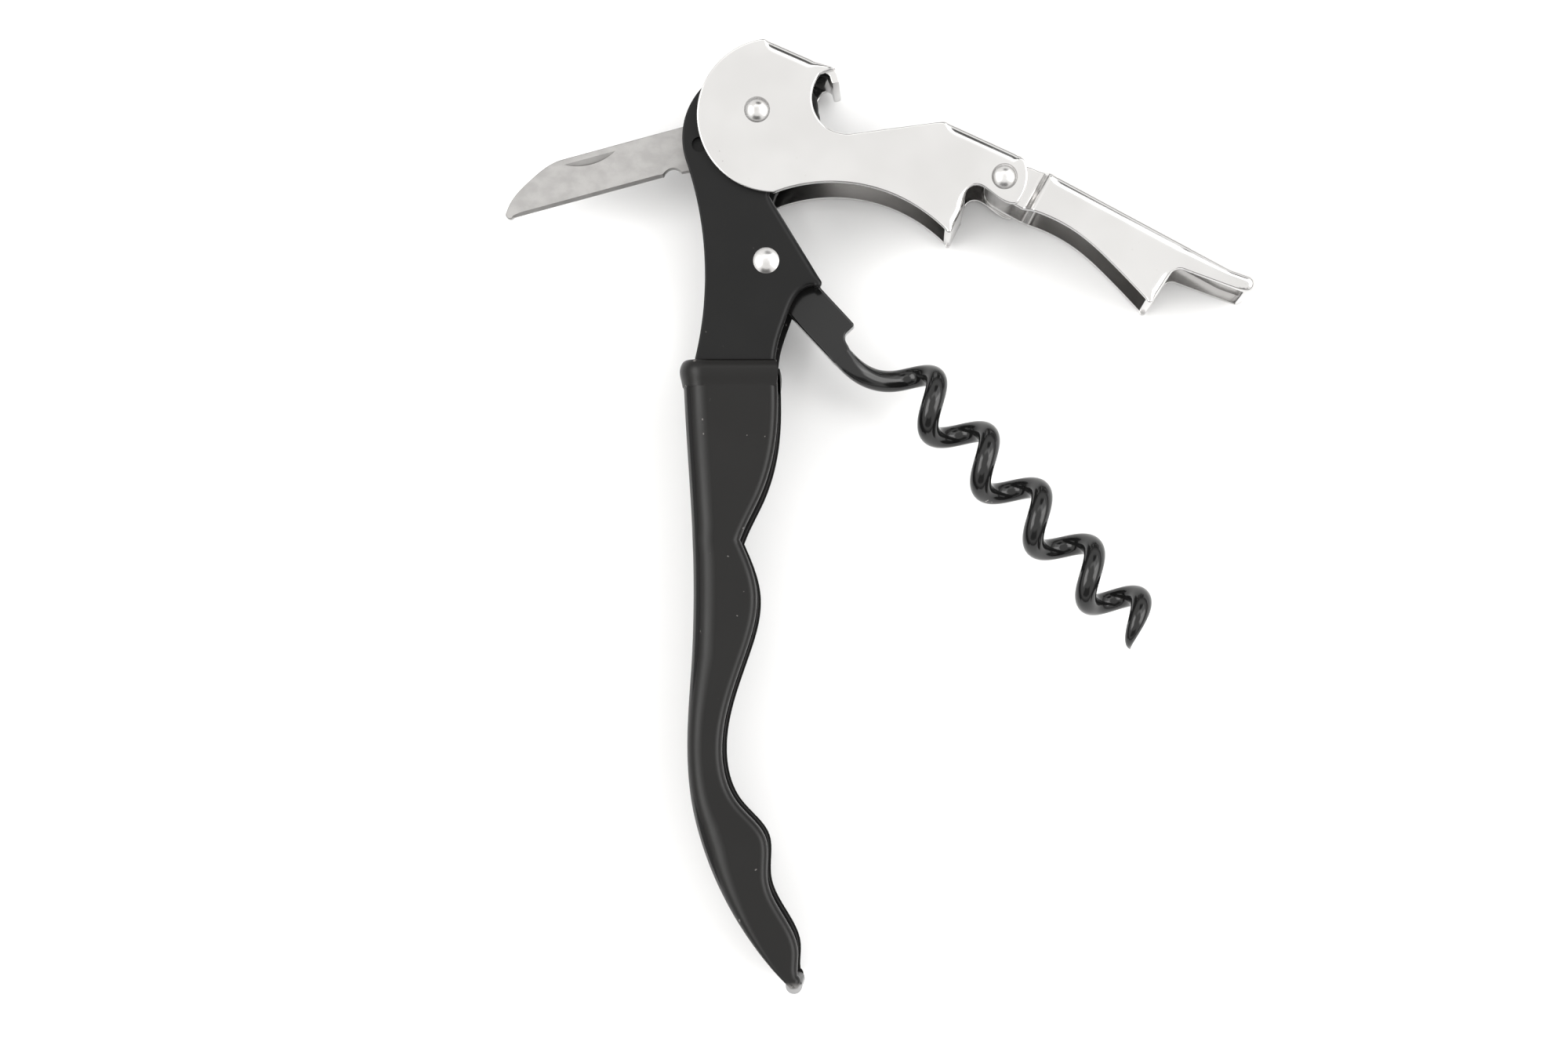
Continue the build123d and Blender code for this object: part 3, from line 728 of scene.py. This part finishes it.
for vertex in piece.bm.verts:
    t = min(max((vertex.co.x - SHOULDER[0]) / length, 0), 1)
    vertex.co.z += (LEVER_INNER - HINGE_INNER) * t * t * (3 - 2 * t) * (1 if vertex.co.z > 0 else -1)
piece.web(straight(*STEP_SPINE, STEP_END[0]) + arc(*STEP_END)[1:], LEVER_INNER + 2 * BURR_EDGE)
piece.web(straight(*STEP_TOOTH), LEVER_INNER + 2 * BURR_EDGE)
fit(piece.solid("step_lever_sheet"), "step", ["step_lever"], CHROME)

# ---- knife ---------------------------------------------------------------------------------------

BACK_Y, EDGE_Y, TIP_X = -1.65, 4.05, 35.8
BACK_EDGE = 0.12             # small chamfer all round the blade
BEVEL, EDGE_HALF = 0.4, 0.12 # the ground edge: its width, and half of what it leaves of the thickness
NICK_SLOPE, NICK_MOUTH = 0.47, -0.9

points, radii = joined(
    (straight((0, -3.2), (1.5, BACK_Y - 0.4), (3.0, BACK_Y), (26.6, BACK_Y)), BACK_EDGE),
    (smooth([(26.6, BACK_Y), (31.4, -0.1), (TIP_X - 0.3, 3.1)], (1, 0), (0.6, 1)), BACK_EDGE),
    (arc((TIP_X - 0.3, 3.1), (TIP_X - 0.15, 3.9), (TIP_X - 1.0, EDGE_Y), step=0.12), BACK_EDGE),
    (straight((TIP_X - 1.0, EDGE_Y), (14.2, EDGE_Y)), BEVEL),
    (arc((14.2, EDGE_Y), (12.9, 3.35), (11.8, 4.2)), BACK_EDGE),
    (straight((11.8, 4.2), (10.0, 4.35), (1.5, 2.9)), BACK_EDGE),
    (arc((1.5, 2.9), (-3.2, 0), (0, -3.2)), BACK_EDGE),
)
# the wider the ground edge is at a point, the further down the blade's side it goes
fall = (BLADE_HALF - EDGE_HALF - BACK_EDGE) / (BEVEL - BACK_EDGE)
halves = []
for way in (-1, 1):
    rings = [[], [], []]
    for p, n, r in zip(points, outward(points), radii):
        rings[0].append((*(p - n * (r + SUPPORT)), way * BLADE_HALF))
        rings[1].append((*(p - n * r), way * BLADE_HALF))
        rings[2].append((*p, way * (BLADE_HALF - BACK_EDGE - fall * (r - BACK_EDGE))))
    halves.append(rings)
piece = Piece(LEVER_PIVOT, KNIFE_ANGLE)
piece.skin(halves[0] + halves[1][::-1])
knife = piece.solid("knife_steel")
nick = Piece(LEVER_PIVOT, KNIFE_ANGLE)
mouth = arc((19.3, -1.0), (23.2, 0.0), (26.7, -1.0))
mouth += straight(mouth[-1], mouth[0], step=0.3)[1:-1]
nick.skin([
    [(p.x, p.y, BLADE_HALF - NICK_SLOPE * (p.y - NICK_MOUTH)) for p in mouth],
    [(p.x, p.y, BLADE_HALF + 1) for p in mouth],
])
cut(knife, nick.solid("nick"))
fit(knife, "knife", ["knife_blade"], BLADE, sharp=20)

# ---- worm ----------------------------------------------------------------------------------------

WIRE, WIRE_SIDES, POINT = 1.42, 40, 0.12
COIL, COIL_OFFSET = 2.75, 3.45
PITCH, POINT_PITCH = 10.2, 8.3
FIRST_TOP = 25.7             # from the worm rivet to the first top of the coil
PITCH_CHANGE, TAPER_START, POINT_END = 3.5, 4.02, 4.5    # in turns, counted from there
TANG_LENGTH, TANG_TOP, TANG_BOTTOM = 13.6, 3.1, -2.35
LEAD_IN = -0.92              # the straight start of the wire lies this far below the rivet's line
SQUARE_LENGTH = 6.5          # the wire is squared over this length where it leaves the tang
TANG_END = 15.4


def coil(turn):
    """Middle of the wire at a number of turns from the first top."""
    along = FIRST_TOP + PITCH * min(turn, PITCH_CHANGE) + POINT_PITCH * max(turn - PITCH_CHANGE, 0)
    return Vector((along, COIL_OFFSET + COIL * cos(2 * pi * turn), COIL * sin(2 * pi * turn)))


turns = [-0.33 + k / 12 for k in range(58)] + [POINT_END]
wire = smooth(
    [
        (TANG_LENGTH + 1.0, LEAD_IN, 0), (TANG_LENGTH + 1.8, LEAD_IN, 0), (18.6, -0.6, -0.35),
        *map(coil, turns),
    ],
    (1, 0, 0), coil(POINT_END) - coil(POINT_END - 0.01), step=0.3,
)
taper_start, taper_end = coil(TAPER_START).x, coil(POINT_END).x
upward = Vector((0, 0, 1))
rings = []
for i, p in enumerate(wire):
    along = (wire[min(i + 1, len(wire) - 1)] - wire[max(i - 1, 0)]).normalized()
    upward = (upward - along * upward.dot(along)).normalized()
    across = along.cross(upward)
    share = min(max((p.x - taper_start) / (taper_end - taper_start), 0), 1)
    size = POINT + (WIRE - POINT) * (1 - share**2)
    square = max(0.0, 1 - (p - wire[0]).length / SQUARE_LENGTH) ** 1.5
    rings.append([])
    for k in range(WIRE_SIDES):
        c, s = cos(2 * pi * k / WIRE_SIDES), sin(2 * pi * k / WIRE_SIDES)
        full = (abs(c) ** 9 + abs(s) ** 9) ** (-1 / 9)
        offset = across * c + upward * s * (1 + 0.05 * square)
        rings[-1].append(p + offset * size * (1 + (full - 1) * square))
piece = Piece(WORM_PIVOT, WORM_ANGLE)
piece.skin(rings)
neck = [(TANG_LENGTH, TANG_TOP), (TANG_LENGTH, 1.3), (14.2, 0.75), (TANG_END, 0.45)]
tang = joined(
    (arc((0, TANG_BOTTOM), (-2.725, 0.375), (0, TANG_TOP)), 0.3),
    (eased([(0, TANG_TOP), *neck], 0.4), 0.25),
    (straight(neck[-1], (TANG_END, LEAD_IN - WIRE)), 0.01),
    (straight((TANG_END, LEAD_IN - WIRE), (0, TANG_BOTTOM)), 0.25),
)
piece.plate(tang, -TANG_HALF, TANG_HALF)
fit(piece.solid("worm_wire"), "worm", ["worm"], COATING)

# ---- rivets --------------------------------------------------------------------------------------

RIVET_RADIUS, HEAD_RADIUS, DOME_RINGS = 1.25, 1.7, 12


def head(start, top):
    """Half profile of a domed rivet from its shank to its top."""
    rise = top - start
    ball = (HEAD_RADIUS**2 + rise**2) / (2 * rise)
    swing = atan2(HEAD_RADIUS, ball - rise)
    angles = [swing * (1 - k / DOME_RINGS) for k in range(1, DOME_RINGS)]
    dome = [(ball * sin(angle), top - ball + ball * cos(angle)) for angle in angles]
    return [(RIVET_RADIUS, start), (HEAD_RADIUS, start), *dome, (0.02, top)]


for name, pivot, start, top, node, body in (
    ("lever_rivet_head", LEVER_PIVOT, LEVER_HALF, RIVET_TOP, "lever_rivet", "lever"),
    ("step_rivet_head", STEP_PIVOT, LEVER_HALF, RIVET_TOP, "step_rivet", "lever"),
    ("worm_rivet_head", WORM_PIVOT, FRAME_HALF, STUD_TOP, "worm_rivet", "handle"),
):
    piece = Piece(pivot)
    half = head(start, top)
    piece.turned([(r, -z) for r, z in half[::-1]] + half)
    fit(piece.solid(name), body, [node], RIVET)

for name in ("step_spacer", "knife_bush_upper", "knife_bush_lower", "worm_bush_upper", "worm_bush_lower"):
    node = frame["nodes"][name]
    node.data.materials.clear()
    node.data.materials.append(BUSH)
    node.data.shade_smooth()
    node.data.set_sharp_from_angle(angle=radians(30))

# ---- table top, light and camera -----------------------------------------------------------------

bpy.ops.mesh.primitive_plane_add(size=6, location=(0, 0, 0))
floor = bpy.context.object
floor.name = "table"
_, fill = shader("white table top")
floor.data.materials.append(fill(Base_Color=grey(0.765), Roughness=0.9, Specular_IOR_Level=0.1))
floor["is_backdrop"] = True

scene = bpy.context.scene
scene.view_settings.view_transform = "Standard"
scene.world = bpy.data.worlds.new("studio")
scene.world.use_nodes = True
tree = scene.world.node_tree
ray = Flow(tree, tree.nodes.new("ShaderNodeTexCoord").outputs["Generated"])
height = ray.node("ShaderNodeSeparateXYZ", {0: ray}, out=2)


def card(azimuth, wide, low, high, amount):
    """A card beside the table, as seen from the object: where it stands and how far up it reaches."""
    level = ray.node("ShaderNodeVectorMath", {0: ray, 1: (1, 1, 0)}, operation="MULTIPLY")
    level = level.node("ShaderNodeVectorMath", {0: level}, operation="NORMALIZE")
    facing = (*polar(1, azimuth), 0)
    near = level.node("ShaderNodeVectorMath", {0: level, 1: facing}, out=1, operation="DOT_PRODUCT")
    edge = cos(radians(wide))
    return (near.over(edge - 0.06, edge + 0.06) * height.over(low - 0.05, low + 0.05)
            * (1 - height.over(high - 0.05, high + 0.05)) * amount)


shade = (1 - card(64, 34, 0.50, 0.77, 0.93)) * (1 - card(-95, 30, 0.30, 0.72, 0.85))
light = shade * height.over(-0.02, 0.3) * 1.42
for card_light in ((180, 32, 0.55, 0.86, 5.0), (-5, 26, 0.40, 0.86, 4.4), (100, 26, 0.80, 0.90, 1.6)):
    light = light + card(*card_light)
tree.links.new(light.socket, tree.nodes["Background"].inputs["Strength"])
tree.nodes["Background"].inputs["Color"].default_value = (1, 0.995, 0.985, 1)


def lamp(name, place, size, power):
    """Rectangular lamp at a place, facing the object."""
    area = bpy.data.lights.new(name, "AREA")
    area.shape, area.size, area.size_y, area.energy = "RECTANGLE", *size, power
    obj = bpy.data.objects.new(name, area)
    scene.collection.objects.link(obj)
    obj.location = place
    obj.rotation_mode = "QUATERNION"
    obj.rotation_quaternion = (-Vector(place)).to_track_quat("-Z", "Y")
    obj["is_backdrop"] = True


lamp("soft_box", (0.75, 0.6, 1.0), (0.9, 0.9), 6.0)

camera = bpy.data.objects.new("camera", bpy.data.cameras.new("camera"))
scene.collection.objects.link(camera)
camera.location = (3.13 * MM, -24.7 * MM, 407.75 * MM)
camera.data.lens = 69.3
camera.data.sensor_width = 36
camera.data.shift_x, camera.data.shift_y = -0.075, 0.117
camera.data.clip_start, camera.data.clip_end = 0.01, 20
scene.camera = camera
scene.cycles.max_bounces = 24
scene.cycles.glossy_bounces = 16

for low, high in (cad_box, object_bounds()):
    [round(c, 6) for c in (*low, *high)]
